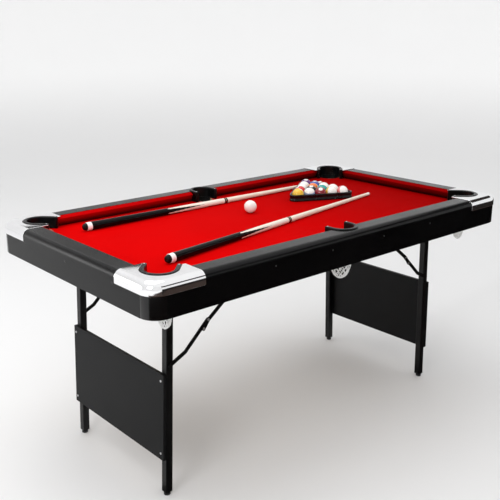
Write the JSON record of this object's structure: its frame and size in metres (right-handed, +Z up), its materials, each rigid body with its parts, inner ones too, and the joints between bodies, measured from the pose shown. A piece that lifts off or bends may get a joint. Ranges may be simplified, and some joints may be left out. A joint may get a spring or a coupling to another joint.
{
  "type": "folding pool table",
  "caption": "Free-standing pool table with cloth bed, drop pockets with nets, chrome corner caps, folding leg frames with braces and panels, and a play set of cues, balls and rack.",
  "frame": {"origin": "on the floor under the middle of the table", "axes": "+X along the length, +Y to the rear long side, +Z up"},
  "size_m": [1.6804, 0.9184, 0.81],
  "materials": {
    "board": "matt",
    "bed_cloth": "napped cloth",
    "cushion_cloth": "napped cloth",
    "black_laminate": "satin",
    "chrome": "polished",
    "black_moulding": "satin",
    "net_cord": "knotted cord",
    "zinc_steel": "plated",
    "screw_black": "satin",
    "black_steel": "powder coat",
    "panel_laminate": "fine grain",
    "foot_plastic": "matt",
    "ball_resin": "polished",
    "rack_plastic": "satin",
    "cue_wood": "lacquered"
  },
  "bodies": {
    "table": {"bed_board": "board", "bed_cloth": "bed_cloth", "front_rail": "black_laminate", "rear_rail": "black_laminate", "left_rail": "black_laminate", "right_rail": "black_laminate", "front_left_corner_post": "black_laminate", "front_right_corner_post": "black_laminate", "rear_right_corner_post": "black_laminate", "rear_left_corner_post": "black_laminate", "front_left_pocket_collar": "black_moulding", "front_right_pocket_collar": "black_moulding", "rear_right_pocket_collar": "black_moulding", "rear_left_pocket_collar": "black_moulding", "front_side_pocket_collar": "black_moulding", "rear_side_pocket_collar": "black_moulding", "collar_rivets": "zinc_steel", "front_left_cushion": "cushion_cloth", "front_right_cushion": "cushion_cloth", "rear_left_cushion": "cushion_cloth", "rear_right_cushion": "cushion_cloth", "left_cushion": "cushion_cloth", "right_cushion": "cushion_cloth", "front_left_corner_cap": "chrome", "front_right_corner_cap": "chrome", "rear_right_corner_cap": "chrome", "rear_left_corner_cap": "chrome", "front_left_pocket_net": "net_cord", "front_right_pocket_net": "net_cord", "rear_right_pocket_net": "net_cord", "rear_left_pocket_net": "net_cord", "front_side_pocket_net": "net_cord", "rear_side_pocket_net": "net_cord", "bed_battens": "board", "apron_screws": "screw_black", "hinge_brackets": "black_steel", "hinge_pins": "zinc_steel", "brace_anchors": "black_steel"},
    "left_leg_frame": {"left_leg_front": "black_steel", "left_leg_rear": "black_steel", "left_leg_panel": "panel_laminate", "left_panel_screws": "zinc_steel"},
    "left_brace_lower": {"left_brace_lower_arms": "black_steel"},
    "left_brace_upper": {"left_brace_upper_arms": "black_steel"},
    "left_front_foot": {"left_front_leveller": "foot_plastic"},
    "left_rear_foot": {"left_rear_leveller": "foot_plastic"},
    "right_leg_frame": {"right_leg_front": "black_steel", "right_leg_rear": "black_steel", "right_leg_panel": "panel_laminate", "right_panel_screws": "zinc_steel"},
    "right_brace_lower": {"right_brace_lower_arms": "black_steel"},
    "right_brace_upper": {"right_brace_upper_arms": "black_steel"},
    "right_front_foot": {"right_front_leveller": "foot_plastic"},
    "right_rear_foot": {"right_rear_leveller": "foot_plastic"},
    "cue_ball_body": {"cue_ball": "ball_resin"},
    "object_balls_body": {"object_balls": "ball_resin"},
    "ball_rack_body": {"ball_rack": "rack_plastic"},
    "front_cue_body": {"front_cue": "cue_wood"},
    "rear_cue_body": {"rear_cue": "cue_wood"}
  },
  "joints": [
    {"name": "left_leg_fold", "type": "hinge", "parent": "table", "child": "left_leg_frame", "pos_m": [-0.64, 0, 0.72], "axis": [0, -1, 0], "range_deg": [0, 91.75]},
    {"name": "left_brace_foot_pivot", "type": "hinge", "parent": "left_leg_frame", "child": "left_brace_lower", "pos_m": [-0.6485, 0, 0.451], "axis": [0, -1, 0], "range_deg": [0, 47.88]},
    {"name": "left_brace_top_pivot", "type": "hinge", "parent": "table", "child": "left_brace_upper", "pos_m": [-0.279, 0, 0.733], "axis": [0, 1, 0], "range_deg": [0, 36.78]},
    {"name": "left_front_level", "type": "slide", "parent": "left_leg_frame", "child": "left_front_foot", "axis": [-0.0305, 0, -0.9995], "range_m": [0, 0.01]},
    {"name": "left_rear_level", "type": "slide", "parent": "left_leg_frame", "child": "left_rear_foot", "axis": [-0.0305, 0, -0.9995], "range_m": [0, 0.01]},
    {"name": "right_leg_fold", "type": "hinge", "parent": "table", "child": "right_leg_frame", "pos_m": [0.64, 0, 0.72], "axis": [0, 1, 0], "range_deg": [0, 88.1]},
    {"name": "right_brace_foot_pivot", "type": "hinge", "parent": "right_leg_frame", "child": "right_brace_lower", "pos_m": [0.6485, 0, 0.451], "axis": [0, 1, 0], "range_deg": [0, 48.62]},
    {"name": "right_brace_top_pivot", "type": "hinge", "parent": "table", "child": "right_brace_upper", "pos_m": [0.279, 0, 0.733], "axis": [0, -1, 0], "range_deg": [0, 35.2]},
    {"name": "right_front_level", "type": "slide", "parent": "right_leg_frame", "child": "right_front_foot", "axis": [0.0305, 0, -0.9995], "range_m": [0, 0.01]},
    {"name": "right_rear_level", "type": "slide", "parent": "right_leg_frame", "child": "right_rear_foot", "axis": [0.0305, 0, -0.9995], "range_m": [0, 0.01]},
    {"name": "cue_ball_lift", "type": "slide", "parent": "table", "child": "cue_ball_body", "axis": [0, 0, 1], "range_m": [0, 0.25]},
    {"name": "object_balls_lift", "type": "slide", "parent": "table", "child": "object_balls_body", "axis": [0, 0, 1], "range_m": [0, 0.25]},
    {"name": "ball_rack_lift", "type": "slide", "parent": "table", "child": "ball_rack_body", "axis": [0, 0, 1], "range_m": [0, 0.25]},
    {"name": "front_cue_lift", "type": "slide", "parent": "table", "child": "front_cue_body", "axis": [0, 0, 1], "range_m": [0, 0.25]},
    {"name": "rear_cue_lift", "type": "slide", "parent": "table", "child": "rear_cue_body", "axis": [0, 0, 1], "range_m": [0, 0.25]}
  ],
  "couplings": [
    {"joint": "left_brace_foot_pivot", "follows": "left_leg_fold", "ratio": 0.52168},
    {"joint": "left_brace_top_pivot", "follows": "left_leg_fold", "ratio": 0.40065},
    {"joint": "right_brace_foot_pivot", "follows": "right_leg_fold", "ratio": 0.55166},
    {"joint": "right_brace_top_pivot", "follows": "right_leg_fold", "ratio": 0.3993}
  ]
}
